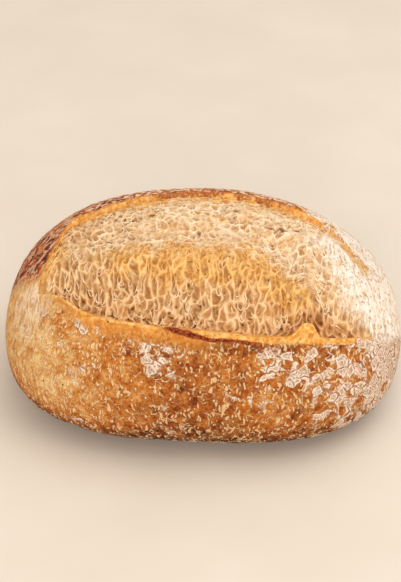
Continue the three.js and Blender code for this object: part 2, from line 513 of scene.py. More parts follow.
def white_zone(x, angle):
    """The right end, where the basket's flour lies thick over crust and crumb alike."""
    leaning = x + WHITE_LEAN["by"] * (np.minimum(angle, WHITE_LEAN["up_to"]) - WHITE_LEAN["about"])
    floury = ease(leaning, *WHITE["along"]) * between(angle, *WHITE["angle"])
    rim_band = between(far_lip(x) - angle, *WHITE_RIM["before_far"]) * (1 - ease(x, *WHITE_RIM["ends"]))
    return floury * (1 - WHITE_RIM["gone"] * rim_band)


# %% Pores and toast of the crumb
PORES = {"width": 3.2, "height": 4.0, "upper": 1.2, "squeeze": 0.7, "seed": 45}
PORE_LOTS = (0.88, 0.92)  # a cell whose lot is above this has a pore
MORE_PORES = {"near": 0.28, "up_to": (0.04, 0.16), "far": 0.14, "at": 0.84, "half_width": 0.1}
PORE_RADIUS = {"least": 0.1, "more": 0.22}
TOAST = {"fold": 0.95, "along": (-95, -20, 50, 72), "rim": 0.75, "left": 0.75, "uneven": 0.35}


def pores_at(share, u, v, is_upper):
    """Small round holes, with more of them beside the lips."""
    width = PORES["width"] + PORES["upper"] * is_upper
    squeezed = v * (1 + PORES["squeeze"] * is_upper)
    _, lot, from_pore = cell_web(u, squeezed, width, PORES["height"], PORES["seed"])
    more = MORE_PORES["near"] * (1 - ease(share, *MORE_PORES["up_to"]))
    more += MORE_PORES["far"] * bump(share, MORE_PORES["at"], MORE_PORES["half_width"])
    least = PORE_RADIUS["least"]
    hole = 1 - ease(from_pore, least, least + PORE_RADIUS["more"] * lot)
    return ease(lot, PORE_LOTS[0] - more, PORE_LOTS[1] - more) * hole


def toast_at(x, share, v):
    """Where the crumb is toasted: on the fold, under the far lip and at the left end."""
    crest = fold_at(x)
    toast = TOAST["fold"] * between(share, crest - 0.22, crest - 0.05, crest - 0.02, crest + 0.22)
    toast = toast * between(x, *TOAST["along"]) + TOAST["rim"] * ease(share, 0.84, 0.98)
    toast += TOAST["left"] * ease(x, -70, -92) * ease(share, 0.15, 0.45)
    return toast + TOAST["uneven"] * rougher(12, x, v, seed=51)


# %% The crumb's pattern
# A push is a height in millimetres, a length and a seed, as the lips' waves are.
PUSH_ALONG = [(2.4, 9, 31), (1.3, 3.4, 32)]
PUSH_UP = [(2.6, 11, 33), (1.5, 3.6, 34)]
CURLS = {"size": 3.2, "width": 0.13, "height": 0.5, "strand": 0.6}
PORE_DEPTH = 0.9
FLOOR_DEPTH = 1.25
# Upper bloom's slits, sunk and painted with shade: x, share of the way to the far lip, and reach along x.
SLITS = [
    (-55, 0.60, 2),
    (-42, 0.77, 3),
    (-31, 0.79, 2),
    (19, 0.83, 2),
    (40, 0.72, 2),
    (47, 0.73, 3),
    (56, 0.75, 2),
]
SLIT = {"depth": 1.8, "half_width": 0.012, "wavy": 0.002}


def calm_at(x, share, flat):
    """How much relief is left: less under the thick flour, at the left end and on flat places."""
    floured_end = ease(x, 66, 92) * ease(share, 0.15, 0.5)
    return (1 - 0.8 * floured_end) * (1 - 0.6 * flat) * (1 - 0.6 * ease(x, -78, -98))


def crumb_pattern(x, share, v):
    """Relief in millimetres and the marks of the torn crumb, v being the way up from the near lip."""
    push_v = waves(PUSH_UP, x, v)
    u = x + waves(PUSH_ALONG, x, v)
    w = v + push_v
    crest = fold_at(x)
    is_upper = ease(share, crest - 0.04, crest + 0.14)
    lower_web, lower_floor = layered(u, w, LONG_CELLS, MID_CELLS)
    upper_web, upper_floor = layered(u, w, ROUND_CELLS, FINE_CELLS)
    floor = lower_floor + (upper_floor - lower_floor) * is_upper
    curls = bump(rough(CURLS["size"], u, 0.6 * w, seed=35), 0, CURLS["width"])
    curls *= ease(rough(7, x, v, seed=36), -0.4, 0.1)
    frays = 0.3 + 0.7 * ease(rough(3.4, x, v, seed=37), -0.5, 0.1)
    web = frays * (lower_web + (upper_web - lower_web) * is_upper)
    web = np.maximum(web, CURLS["strand"] * curls)
    pores = pores_at(share, u, w, is_upper)
    wavy_share = share + SLIT["wavy"] * push_v
    slits = sum(bump(x, at_x, reach) * bump(wavy_share, at, SLIT["half_width"]) for at_x, at, reach in SLITS)
    flat = ease(rough(8, x, v, seed=38), 0.1, 0.5) * is_upper
    calm = calm_at(x, share, flat)
    relief = calm * (FLOOR_DEPTH * floor + CURLS["height"] * curls - PORE_DEPTH * pores)
    relief -= SLIT["depth"] * slits
    marks = {
        "strand": web * (0.3 + 0.7 * calm),
        # The next two marks darken the crumb by the depth of its floors, and in its pores and slits: painted
        # shade.
        "hollow_shade": -relief / 3.2,
        "pore_shade": np.maximum(pores * calm, ease(slits, 0.2, 0.7)),
        "toast": toast_at(x, share, v),
        "upper": is_upper * (0.35 + 0.65 * ease(x + 9 * rough(14, x, v, seed=39), -72, -10)),
    }
    return relief, marks


# %% [markdown]
# The crust is one closed skin. A sphere with its poles turned to the ends of the loaf has the right rings
# and sections, so the piece starts as that primitive. The operators can't lay a lip along a named curve,
# so each of its points is then moved by the functions above. The rings stand closer at the front and at the
# lips, where the detail shows, and the skin dips under the bloom, where the crumb piece covers it.

# %% Start the crust from a sphere
AROUND = 348
SECTIONS = 280
END_CROWDING = 1.8

bpy.ops.mesh.primitive_uv_sphere_add(segments=AROUND, ring_count=SECTIONS, radius=1)
crust = bpy.context.object
crust.name = "loaf_crust"
bpy.ops.transform.rotate(value=math.radians(90), orient_axis="Y", center_override=(0, 0, 0))
bpy.ops.object.transform_apply(rotation=True)
ball = np.empty(3 * len(crust.data.vertices))
crust.data.vertices.foreach_get("co", ball)
ball = ball.reshape(-1, 3)
print("crust starts with", len(ball), "points")


# %% Rows and rings of the crust
def station(share):
    """Where a section stands along the loaf, from -1 to 1, crowded towards the ends."""
    return HALF_LENGTH * np.sign(share) * (1 - (1 - np.abs(share)) ** END_CROWDING)


def ring_angle(turn, near, far):
    """Spreads a turn of 0 to 1, from the base over the front and the top, over the stretches of a ring.
    A stretch has a number of columns, and the angles from which and to which they run."""
    stretches = [
        (20, -90.0, -50.0),
        (168, -50.0, near - 5),
        (16, near - 5, near),
        (8, near, near + LIP_WALL),
        (14, near + LIP_WALL, far - LIP_WALL),
        (8, far - LIP_WALL, far),
        (16, far, far + 6),
        (82, far + 6, 230.0),
        (16, 230.0, 270.0),
    ]
    column = turn * sum(count for count, _, _ in stretches)
    angle = np.full_like(turn, -90.0)
    first = 0
    for count, start, end in stretches:
        inside = (column >= first) & (column <= first + count)
        angle = np.where(inside, start + (end - start) * (column - first) / count, angle)
        first += count
    return angle


row = np.round(np.arccos(np.clip(ball[:, 0], -1, 1)) / math.pi * SECTIONS)
crust_x = station(1 - 2 * row / SECTIONS)
turn = np.round((np.arctan2(ball[:, 2], -ball[:, 1]) / (2 * math.pi) + 0.25) % 1 * AROUND) % AROUND / AROUND
crust_near = near_lip(crust_x)
crust_far = far_lip(crust_x)
crust_angle = ring_angle(turn, crust_near, crust_far)
base_y, base_z = dome(crust_x, crust_angle)
mm_per_degree = np.radians(np.hypot(base_y, base_z - WIDEST_AT))
past_near = (crust_angle - crust_near) * mm_per_degree
before_far = (crust_far - crust_angle) * mm_per_degree
is_front = crust_angle < (crust_near + crust_far) / 2
from_lip = np.maximum(np.where(is_front, -past_near, -before_far), 0)
torn = ease(past_near, 0, LIP_WALL) * ease(before_far, 0, LIP_WALL)
bloom_share = np.clip((crust_angle - crust_near) / (crust_far - crust_near), 0, 1)
print("share of the crust's points under the bloom:", round(float(np.mean(torn > 0.5)), 2))

# %% Sizes of the skin
SKIN_ROOM = 0.5  # the skin lies this far inside the box, and its blisters rise back up to it
BLISTERS = {"size": 2.6, "height": 0.3}
WRINKLES = {"size": 6, "height": 0.4}
CURL = {"near": 0.9, "far": 0.5, "far_right": 0.9, "from": (30, 70), "at": 1.2, "half_width": 1.3}
CURL_SPAN = (-95, -80, 92, 104)
NICKS = {"height": 0.6, "size": 2.8, "at": 2, "half_width": 2.5}  # the far rim's uneven edge
END_POWER = 8
WIDEST_SINES = (0.05, 0.5)
COVERED = (-98, -90, 84, 94)  # where the crumb piece covers the bloom
UNDER_CRUMB = 6  # how far the crust piece runs under the crumb
END_RELIEF = 0.7  # how much of the crumb's relief the crust shows at the bloom's ends

# %% Skin and lips of the crust
swell = SWELLS["height"] * lumps(crust_x, base_y + base_z, SWELLS["size"])
swell = swell * ease(from_lip, 0, np.where(is_front, NEAR_LIP["fades"], FAR_LIP["fades"]))
keeps_free = 1 - np.abs(crust_x / HALF_LENGTH) ** END_POWER
keeps_free *= ease(np.abs(np.sin(np.radians(crust_angle))), *WIDEST_SINES)
blisters = rough(BLISTERS["size"], crust_x, base_y, base_z, seed=5)
wrinkles = rougher(WRINKLES["size"], crust_x, base_y, base_z, seed=6)
skin_relief = BLISTERS["height"] * ease(blisters, 0.1, 0.7) + WRINKLES["height"] * wrinkles - SKIN_ROOM
curl = np.where(is_front, CURL["near"], CURL["far"] + CURL["far_right"] * ease(crust_x, *CURL["from"]))
curl = curl * (1 + 0.8 * rough(5, crust_x, seed=8)) * bump(from_lip, CURL["at"], CURL["half_width"])
nicks = rough(NICKS["size"], crust_x, base_y, seed=9) * bump(from_lip, NICKS["at"], NICKS["half_width"])
curl += NICKS["height"] * nicks * ~is_front
curl *= between(crust_x, *CURL_SPAN)
lip = (lip_height(crust_x, is_front, from_lip) + curl + swell) * keeps_free

# %% Trough of the crust
crust_v = bloom_share * (crust_far - crust_near) * mm_per_degree
end_relief, end_marks = crumb_pattern(crust_x, bloom_share, crust_v)
trough = bloom_height(crust_x, bloom_share) + END_RELIEF * end_relief
trough -= UNDER_CRUMB * between(crust_x, *COVERED)
height = lip + (trough - lip) * torn + skin_relief
crust.data.vertices.foreach_set("co", lift(crust_x, crust_angle, height).ravel())
crust.data.update()
bpy.ops.object.shade_smooth()
print("crust has", sum(len(face.vertices) - 2 for face in crust.data.polygons), "triangles")


# %% [markdown]
# A finish can't tell where the oven or the basket reached, so the mesh tells it: each point carries marks,
# numbers from 0 to 1 that say how far it is baked, burnt, floured or torn, and where shade is painted
# into its colour. They are worked out like the heights, from stretches along the loaf in millimetres and
# round it in degrees, with ragged borders.


# %% Ragged places on the crust
def spot(x, angle, at, reach):
    """A soft patch round a place, given as x in millimetres and ring angle in degrees."""
    return bump(x, at[0], reach[0]) * bump(angle, at[1], reach[1])


cloud_big = rougher(26, crust_x, base_y, base_z, seed=12)
cloud_small = rougher(9, crust_x, base_y, base_z, seed=15)
ragged_x = crust_x + 7 * cloud_small
ragged_angle = crust_angle + 5 * cloud_small
upward = np.minimum(ragged_angle, 180 - ragged_angle)  # the angle up from the base, on both sides alike
below_lip = crust_near - crust_angle
past_far = crust_angle - crust_far
behind_far = -before_far

# %% Burnt skin behind the far lip
BURNT_END = {"along": (-76, -90), "above": (42, 62), "to_y": (16, 50)}
BURNT_STRIP = {"along": (-112, -96, -56, -8), "ends": (12, 34)}
BURNT_LINE = {"share": 0.75, "along": (-40, -10, 42, 68), "past_far": (-0.5, 0.8, 3, 6)}
FAR_STRIP = {"along": (-70, -40, 80, 100), "past_far": (0.3, 1.0, 10, 42)}

burnt = ease(ragged_x, *BURNT_END["along"]) * ease(base_z + 6 * cloud_small, *BURNT_END["above"])
burnt *= 1 - ease(base_y + 10 * cloud_small, *BURNT_END["to_y"])
strip = between(ragged_x, *BURNT_STRIP["along"]) * (1 - ease(past_far, *BURNT_STRIP["ends"]))
burnt = np.maximum(burnt, strip)
# It sets in behind the lip's edge, and more softly at the left end.
burnt *= ease(behind_far + 2 * cloud_small, 0.5, 3 + 7 * ease(crust_x, -64, -86)) * (1 - torn)
rim_line = between(ragged_x, *BURNT_LINE["along"]) * between(past_far, *BURNT_LINE["past_far"])
burnt = np.maximum(burnt, BURNT_LINE["share"] * rim_line * (1 - torn))
far_strip = between(ragged_x, *FAR_STRIP["along"]) * between(past_far, *FAR_STRIP["past_far"])
mark(crust, "burnt", burnt)
mark(crust, "brushed", np.maximum(far_strip, 0.8 * burnt * (0.6 + 0.4 * ease(crust_x, -106, -80))))
print("share of the crust that is burnt:", round(float(np.mean(burnt > 0.5)), 3))

# %% Bake, with painted shade under the near lip and at the foot
BAKE = {"even": 0.515, "big": 0.14, "small": 0.10}
PALE_LEFT = {"by": 0.34, "along": (-100, -15), "up": (-30, 10)}
DARK_FRONT = {"by": 0.08, "x": 5, "half_width": 60}
DARK_FOOT_AND_SHADE = {"by": 0.46, "above": (6, 38), "more": 0.3, "low": (4, 14)}
SHADE_UNDER_LIP = {"by": 0.12, "along": (-60, -20, 60, 90), "below": (2, 4, 5, 11)}
FAR_STRIP_PALER = 0.06
SCORCHED_AND_CONTACT_SHADE = (5, 13)

bake_and_shade = BAKE["even"] + BAKE["big"] * cloud_big + BAKE["small"] * cloud_small
bake_and_shade += DARK_FRONT["by"] * bump(crust_x, DARK_FRONT["x"], DARK_FRONT["half_width"])
bake_and_shade -= PALE_LEFT["by"] * (1 - ease(ragged_x, *PALE_LEFT["along"])) * ease(upward, *PALE_LEFT["up"])
# Darker towards the base: partly crust baked darker on the stone, partly painted shade near the floor.
bake_and_shade += DARK_FOOT_AND_SHADE["by"] * (1 - ease(base_z, *DARK_FOOT_AND_SHADE["above"]))
bake_and_shade += DARK_FOOT_AND_SHADE["more"] * (1 - ease(base_z, *DARK_FOOT_AND_SHADE["low"]))
# Painted shade under the roll of the near lip, laid in as a darker brown.
bake_and_shade += SHADE_UNDER_LIP["by"] * between(crust_x, *SHADE_UNDER_LIP["along"]) * between(below_lip, *SHADE_UNDER_LIP["below"])
bake_and_shade -= FAR_STRIP_PALER * far_strip
mark(crust, "bake_and_shade", bake_and_shade)
# Lowest band darkened: partly crust baked darker on the stone, partly painted contact shade at the floor.
mark(crust, "scorched_and_contact_shade", 1 - ease(base_z + 2 * cloud_small, *SCORCHED_AND_CONTACT_SHADE))

# %% Flour
EVEN_FLOUR = 0.08
RIGHT_FLOUR = {"by": 0.50, "along": (48, 86), "up": (-50, -15), "end": 0.25, "end_along": (92, 112)}
FOOT_FLOUR = {"by": 0.3, "above": (8, 10, 12, 15)}
BACK_FLOUR = {"by": 0.30, "angle": (125, 165), "above": (15, 50)}
LEFT_BARE = {"by": 0.3, "along": (-98, -76)}
FLOUR_SPOTS = [(-26, 28), (-13, 30), (39, 26), (50, 21), (-64, 35), (-67, 20), (59, 22), (39, 7)]
SPOT_FLOUR = 0.41
SPOT_REACH = (9, 6)
LEFT_BAND = {"along": (-119, -108, -96, -84), "angle": (24, 44, 64, 78), "white": 0.3}

flour = RIGHT_FLOUR["by"] * ease(ragged_x, *RIGHT_FLOUR["along"]) * ease(upward, *RIGHT_FLOUR["up"])
flour += EVEN_FLOUR + RIGHT_FLOUR["end"] * ease(crust_x, *RIGHT_FLOUR["end_along"])
flour += FOOT_FLOUR["by"] * between(base_z, *FOOT_FLOUR["above"])
flour += BACK_FLOUR["by"] * ease(crust_angle, *BACK_FLOUR["angle"]) * ease(base_z, *BACK_FLOUR["above"])
flour += sum(SPOT_FLOUR * spot(ragged_x, ragged_angle, at, SPOT_REACH) for at in FLOUR_SPOTS)
flour *= 1 - between(below_lip, -3, -2, 1, 4) * (1 - ease(crust_x, 84, 100))
flour *= 1 - 0.9 * burnt
flour -= LEFT_BARE["by"] * (1 - ease(crust_x, *LEFT_BARE["along"]))
left_band = between(ragged_x, *LEFT_BAND["along"]) * between(ragged_angle, *LEFT_BAND["angle"]) * (1 - burnt)
mark(crust, "flour", flour)
mark(crust, "streaked", left_band)

# %% Dark line under the near lip, burnt with painted crease shade, and brown spots of the far rim
DARK_CREASE = {"along": (-26, -12, 28, 44), "below": 1.0, "drop": 1.6, "over": (-14, 6), "half_width": 0.8}
DARK_CREASE_HEAD = {"wider": 0.7, "x": -7, "half_length": 7}
RIM_SPOTS = {"by": 0.48, "along": (-70, -40, 40, 66), "at": 0.3, "half_width": 1.25}

# The line under the lip's roll is partly burnt crust and partly painted shade of the crease there.
crease_line = DARK_CREASE["below"] + DARK_CREASE["drop"] * ease(crust_x, *DARK_CREASE["over"]) + 0.5 * rough(6, crust_x, seed=22)
crease_width = DARK_CREASE["half_width"] + DARK_CREASE_HEAD["wider"] * bump(crust_x, DARK_CREASE_HEAD["x"], DARK_CREASE_HEAD["half_length"])
char_and_crease_shade = between(crust_x, *DARK_CREASE["along"]) * bump(below_lip, crease_line, crease_width)
char_and_crease_shade *= 1.0 + 0.45 * rough(3.0, crust_x, crust_angle, seed=21)
rim_spots = between(crust_x, *RIM_SPOTS["along"]) * ease(rough(7, crust_x, seed=24), -0.25, 0.3)
rim_spots = RIM_SPOTS["by"] * rim_spots * bump(before_far, RIM_SPOTS["at"], RIM_SPOTS["half_width"])
mark(crust, "char_and_crease_shade", np.maximum(char_and_crease_shade, rim_spots))

# %% Torn faces of the lips, and the warm skin beside them
RIM = {"near": 1.2, "more": 1.6, "over": (-20, 10)}  # how far the near lip's torn face comes over its edge
FACE_END = (84, 92)
WARM_LEFT = {"along": (-92, -70, 0, 20), "past": (-11, -2, 1, 2)}
WARM_RIGHT = {"along": (10, 40, 90, 104), "past": (-3, -2, 1, 2)}
GOLD = {"along": (-112, -98, -70, -50), "behind": (-0.5, 0.5, 6, 14)}
CRUMBY = (-90, -80, 86, 94)  # past these places the crust itself looks like crumb

over_edge = RIM["near"] + RIM["more"] * ease(crust_x, *RIM["over"])
past_rim = past_near + tab_peak(crust_x) * mm_per_degree + over_edge
near_face = ease(past_rim, -1, 0) * (1 - ease(past_near, 4, 9) * ease(crust_x, *FACE_END))
far_face = ease(before_far, -0.2, 0.2) * (1 - ease(before_far, 2, 6) * ease(crust_x, *FACE_END))
torn_face = np.where(is_front, near_face, far_face) * (1 - ease(crust_x, 98, 110))
crumby = torn * (1 - between(crust_x, *CRUMBY))
white = white_zone(ragged_x, ragged_angle) * (1 - 0.85 * torn_face * (1 - ease(crust_x, 92, 106)))
past_lip = crust_angle - crust_near
warm_left, warm_right = (
    between(crust_x, *warm["along"]) * between(past_lip, *warm["past"]) for warm in (WARM_LEFT, WARM_RIGHT)
)
gold = between(ragged_x, *GOLD["along"]) * between(behind_far, *GOLD["behind"]) * (1 - torn)
mark(crust, "white", np.maximum(white, LEFT_BAND["white"] * left_band))
mark(crust, "torn_face", torn_face * (1 - crumby))
mark(crust, "orange", np.maximum.reduce([warm_left, warm_right, gold]))
mark(crust, "crumby", crumby)
for name, values in end_marks.items():
    mark(crust, name, values)
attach(crust, "root")
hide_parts("sourdough_loaf")
print("share of the crust's points on a torn face:", round(float(np.mean(torn_face > 0.5)), 3))

# %% [markdown]
# The crumb piece starts as a flat grid and is wrapped over the bloom, and its cells are sunk into it. Its
# border is then extruded down and closed, and lies hidden under the lips.

# %% Start the crumb from a grid
ALONG = 484
ACROSS = 196
TUCK = 0.03  # how far the crumb runs under the lips, as a share of the bloom's width
CRUMB_MIDDLE = -1.5
CRUMB_REACH = 98.5
CRUMB_RAISE = 0.4
CRUMB_SPAN = (-99, -93, 88, 95)
TUCK_DEPTH = 3
BORDER_DEPTH = 3

bpy.ops.mesh.primitive_grid_add(x_subdivisions=ALONG, y_subdivisions=ACROSS, size=2)
crumb = bpy.context.object
crumb.name = "loaf_crumb"
sheet = np.empty(3 * len(crumb.data.vertices))
crumb.data.vertices.foreach_get("co", sheet)
sheet = sheet.reshape(-1, 3)
crumb_x = CRUMB_MIDDLE + CRUMB_REACH * sheet[:, 0]
share = -TUCK + (1 + 2 * TUCK) * (sheet[:, 1] + 1) / 2
crumb_near = near_lip(crumb_x)
crumb_far = far_lip(crumb_x)
crumb_angle = crumb_near + share * (crumb_far - crumb_near)
crumb_y, crumb_z = dome(crumb_x, crumb_angle)
crumb_v = share * (crumb_far - crumb_near) * np.radians(np.hypot(crumb_y, crumb_z - WIDEST_AT))
print("crumb starts with", len(sheet), "points")

# %% Sink the cells
relief, crumb_marks = crumb_pattern(crumb_x, share, crumb_v)
tucked = 1 - between(crumb_x, *CRUMB_SPAN)
crumb_height = bloom_height(crumb_x, share) + relief + CRUMB_RAISE - TUCK_DEPTH * tucked
crumb_places = lift(crumb_x, crumb_angle, crumb_height)
crumb.data.vertices.foreach_set("co", crumb_places.ravel())
crumb.data.update()
for name, values in crumb_marks.items():
    mark(crumb, name, values)
mark(crumb, "white", white_zone(crumb_x, crumb_angle))

# %% Close the crumb underneath
bpy.ops.object.mode_set(mode="EDIT")
bpy.ops.mesh.select_mode(type="EDGE")
bpy.ops.mesh.select_all(action="DESELECT")
bpy.ops.mesh.select_non_manifold()
bpy.ops.mesh.extrude_edges_move(TRANSFORM_OT_translate={"value": (0, 0, -BORDER_DEPTH * MM)})
bpy.ops.mesh.edge_face_add()
bpy.ops.object.mode_set(mode="OBJECT")
bpy.ops.object.shade_smooth()
print("crumb has", sum(len(face.vertices) - 2 for face in crumb.data.polygons), "triangles")
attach(crumb, "root")
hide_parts("sourdough_loaf")

# %% [markdown]
# Some strands stand clear of the cells. Most are little loops: open at the top where the cells are long, and
# turned every way above the fold. The others are longer fibres, nearly straight. Each is a curve with a round
# bevel, thin at both ends, and the curves become one mesh, which takes its marks from the crumb below.

# %% Draw the loops
LOOPS = 320
LONG_ONES = 80
LOOP_STEPS = 14
LOOP_RADIUS = 0.4
LOOP_SWEEP = (2.0, 4.3)  # in radians
LONG_SWEEP = (0.6, 1.1)
LOOP_WIDTH = (0.9, 2.2)
LONG_WIDTH = (5, 9)
TALL = (1.4, 2.6)
ROUND = (0.8, 1.2)
UNDER_STRAND = 0.1
LOOP_RISE = 0.5
LOOP_FIELD = {"along": (-90, 80), "share": (0.02, 0.95)}
LIP_SHARES = (0.01, 0.98)  # a strand that reaches past these would cross a lip, and is left out

draw = np.random.default_rng(5)
middle_x = draw.uniform(*LOOP_FIELD["along"], LOOPS)
middle_share = draw.uniform(*LOOP_FIELD["share"], LOOPS)
is_low = draw.uniform(0, 1, LOOPS) > ease(middle_share, 0.25, 0.5)
is_long = np.arange(LOOPS) < LONG_ONES
sweep = np.where(is_long, draw.uniform(*LONG_SWEEP, LOOPS), draw.uniform(*LOOP_SWEEP, LOOPS))
turned = np.where(is_low, draw.normal(0, 0.5, LOOPS), draw.uniform(0, 2 * math.pi, LOOPS))
turned = np.where(is_low & is_long, turned + math.pi / 2, turned)
loop_width = np.where(is_long, draw.uniform(*LONG_WIDTH, LOOPS), draw.uniform(*LOOP_WIDTH, LOOPS))
tall = np.where(is_low & ~is_long, draw.uniform(*TALL, LOOPS), draw.uniform(*ROUND, LOOPS))
print("loops and long fibres:", LOOPS - LONG_ONES, "and", LONG_ONES)

# %% Lay them over the bloom
along_loop = np.linspace(-0.5, 0.5, LOOP_STEPS)[:, None]
swing = 1.5 * math.pi + turned + sweep * along_loop
path_x = loop_width * np.cos(swing)
path_v = loop_width * tall * np.sin(swing)
path_x = middle_x + path_x - path_x.mean(0)
path_v = path_v - path_v.mean(0)
path_x = path_x + 0.5 * rough(2.5, path_x, path_v + 90 * middle_share, seed=61)
path_near = near_lip(path_x)
path_far = far_lip(path_x)
path_y, path_z = dome(path_x, path_near + middle_share * (path_far - path_near))
bloom_width = (path_far - path_near) * np.radians(np.hypot(path_y, path_z - WIDEST_AT))
path_share = middle_share + path_v / bloom_width
arch = np.cos(math.pi * along_loop)
path_height = bloom_height(path_x, path_share) - UNDER_STRAND + LOOP_RISE * arch
path_places = lift(path_x, path_near + path_share * (path_far - path_near), path_height)

# %% Make them one mesh
loop_curve = bpy.data.curves.new("loaf_strands", "CURVE")
loop_curve.dimensions = "3D"
loop_curve.bevel_depth = MM
loop_curve.bevel_resolution = 1
loop_curve.use_fill_caps = True
for line in range(LOOPS):
    if path_share[:, line].min() < LIP_SHARES[0] or path_share[:, line].max() > LIP_SHARES[1]:
        continue
    spline = loop_curve.splines.new("POLY")
    spline.points.add(LOOP_STEPS - 1)
    corners = np.hstack([path_places[:, line], np.ones((LOOP_STEPS, 1))])
    spline.points.foreach_set("co", corners.ravel())
    radii = LOOP_RADIUS * draw.uniform(0.7, 1.15) * (0.3 + 0.7 * arch[:, 0] ** 0.6)
    spline.points.foreach_set("radius", radii)
strands = bpy.data.objects.new("loaf_strands", loop_curve)
scene.collection.objects.link(strands)
bpy.ops.object.select_all(action="DESELECT")
strands.select_set(True)
bpy.context.view_layer.objects.active = strands
bpy.ops.object.convert(target="MESH")
bpy.ops.object.shade_smooth()
strands = bpy.context.object
print("strands have", sum(len(face.vertices) - 2 for face in strands.data.polygons), "triangles")

# %% Mark the strands like the crumb below them
below = KDTree(len(crumb_places))
for index, place in enumerate(crumb_places):
    below.insert(place, index)
below.balance()
nearest = np.array([below.find(vertex.co)[1] for vertex in strands.data.vertices])
mark(strands, "toast", crumb_marks["toast"][nearest])
mark(strands, "white", white_zone(crumb_x, crumb_angle)[nearest])
mark(strands, "upper", crumb_marks["upper"][nearest])
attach(strands, "root")
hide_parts("sourdough_loaf")

# %% [markdown]
# Torn crumb is pale where a strand thinned out and dried first, and tan on the floors of the cells. The
# floors are painted darker the deeper they sink, and the pores and slits dark brown: that is painted shade.
# The fold stood proud in the oven, so it toasted to a golden orange. The right end of the loaf is white
# with flour, in fine streaks that run round the loaf, over crust and crumb alike.


# %% Colours of the crumb, and the streaks of flour
def crumb_colour(finish):
    mottle = finish.noise(2.6, detail=4, rough=0.7, seed=1)
    patches = finish.noise(12, detail=3, rough=0.6, seed=16)
    upper = finish.attribute("upper")
    lower_tones = {0.32: tone(172, 116, 58), 0.5: tone(202, 148, 90), 0.68: tone(226, 180, 124)}
    upper_tones = {0.32: tone(176, 122, 70), 0.5: tone(218, 174, 124), 0.68: tone(246, 216, 172)}
    toasted_tones = {0.35: tone(180, 106, 42), 0.5: tone(217, 153, 72), 0.65: tone(244, 198, 116)}
    colour = finish.blend(finish.ramp(mottle, lower_tones), finish.ramp(mottle, upper_tones), upper)
    colour = finish.blend(colour, tone(222, 158, 72), finish.product(finish.rise(patches, 0.5, 0.6), 0.5))
    whiter = finish.product(finish.product(finish.rise(patches, 0.46, 0.36), upper), 0.5)
    colour = finish.blend(colour, tone(250, 226, 194), whiter)
    uneven = finish.product(finish.difference(finish.noise(5, detail=3, seed=14), 0.5), 1.8)
    toasted = finish.rise(finish.sum(finish.attribute("toast"), uneven), 0.2, 0.95)
    colour = finish.blend(colour, finish.ramp(mottle, toasted_tones), toasted)
    # Painted shade: the floors of the cells are darker the deeper they sink.
    sunk_shade_colour = finish.blend(tone(136, 82, 38), tone(146, 86, 42), upper)
    colour = finish.blend(colour, sunk_shade_colour, finish.product(finish.attribute("hollow_shade"), 0.8))
    strand_colour = finish.blend(tone(247, 212, 162), tone(255, 234, 198), upper)
    strand_colour = finish.blend(strand_colour, tone(248, 198, 122), toasted)
    colour = finish.blend(colour, strand_colour, finish.product(finish.attribute("strand"), 0.95))
    # Painted shade in the pores and slits.
    return finish.blend(colour, tone(118, 66, 24), finish.product(finish.attribute("pore_shade"), 0.9))


def floured(finish, colour, share):
    """Flour in fine streaks over a colour, where share says so, with thin cracks and bare specks in it."""
    along = finish.scale(finish.warped(2.0, 7), (1.0, 0.2, 0.2))
    streaks = finish.noise(1.6, detail=3, rough=0.65, where=along, seed=8)
    uneven = finish.product(finish.difference(streaks, 0.5), 1.6)
    covered = finish.rise(finish.sum(share, uneven), 0.2, 0.95)
    powder_tones = {0.34: tone(226, 200, 170), 0.48: tone(246, 232, 213), 0.6: tone(252, 244, 232)}
    powder = finish.ramp(streaks, powder_tones)
    curved = finish.scale(finish.warped(1.2, 4), (1.0, 0.5, 0.5))
    slits = finish.cells(3.4, where=curved, feature="DISTANCE_TO_EDGE")
    kept = finish.rise(finish.noise(3.0, detail=1, seed=21), 0.5, 0.56)
    crack = finish.product(finish.rise(slits.outputs["Distance"], 0.07, 0.03), kept)
    specks = finish.cells(3.6, where=finish.scale(finish.surface, (1.0, 0.5, 0.5)))
    bare = finish.rise(specks.outputs["Distance"], 0.2, 0.12)
    powder = finish.blend(powder, tone(178, 136, 96), finish.product(finish.larger(crack, bare), 0.8))
    return finish.blend(colour, powder, finish.product(covered, 0.93))


# %% [markdown]
# The crust's colour shows how deeply it baked, from pale gold to burnt brown, darkened with painted shade
# under the near lip and at the foot. Over that lie pale blisters, thin pale strokes where the skin
# stretched, and flour from the basket, which broke into scales as the loaf grew.

# %% Bake of the crust
BAKE_TONES = {
    0.0: tone(240, 200, 138),
    0.22: tone(216, 160, 92),
    0.42: tone(190, 110, 38),
    0.6: tone(156, 78, 22),
    0.8: tone(112, 50, 16),
    1.0: tone(64, 26, 10),
}
LIP_TONES = {0.3: tone(204, 110, 32), 0.48: tone(238, 170, 76), 0.64: tone(252, 208, 136)}
WARM_TONES = {0.3: tone(198, 104, 28), 0.5: tone(226, 146, 58), 0.66: tone(244, 182, 96)}

skin = Finish("baked_crust")
blotches = skin.difference(skin.noise(7, detail=5, rough=0.7), 0.5)
mottling = skin.difference(skin.noise(1.8, detail=3, rough=0.6, seed=28), 0.5)
crust_darkening = skin.sum(skin.attribute("bake_and_shade"), skin.product(blotches, 1.15))
crust_darkening = skin.sum(crust_darkening, skin.product(mottling, 0.85))
colour = skin.ramp(crust_darkening, BAKE_TONES)
lip_mottle = skin.noise(2.6, detail=3, rough=0.6)
warm_share = skin.product(skin.attribute("orange"), 0.9)
colour = skin.blend(colour, skin.ramp(lip_mottle, WARM_TONES), warm_share)
colour = skin.blend(colour, skin.ramp(lip_mottle, LIP_TONES), skin.attribute("torn_face"))


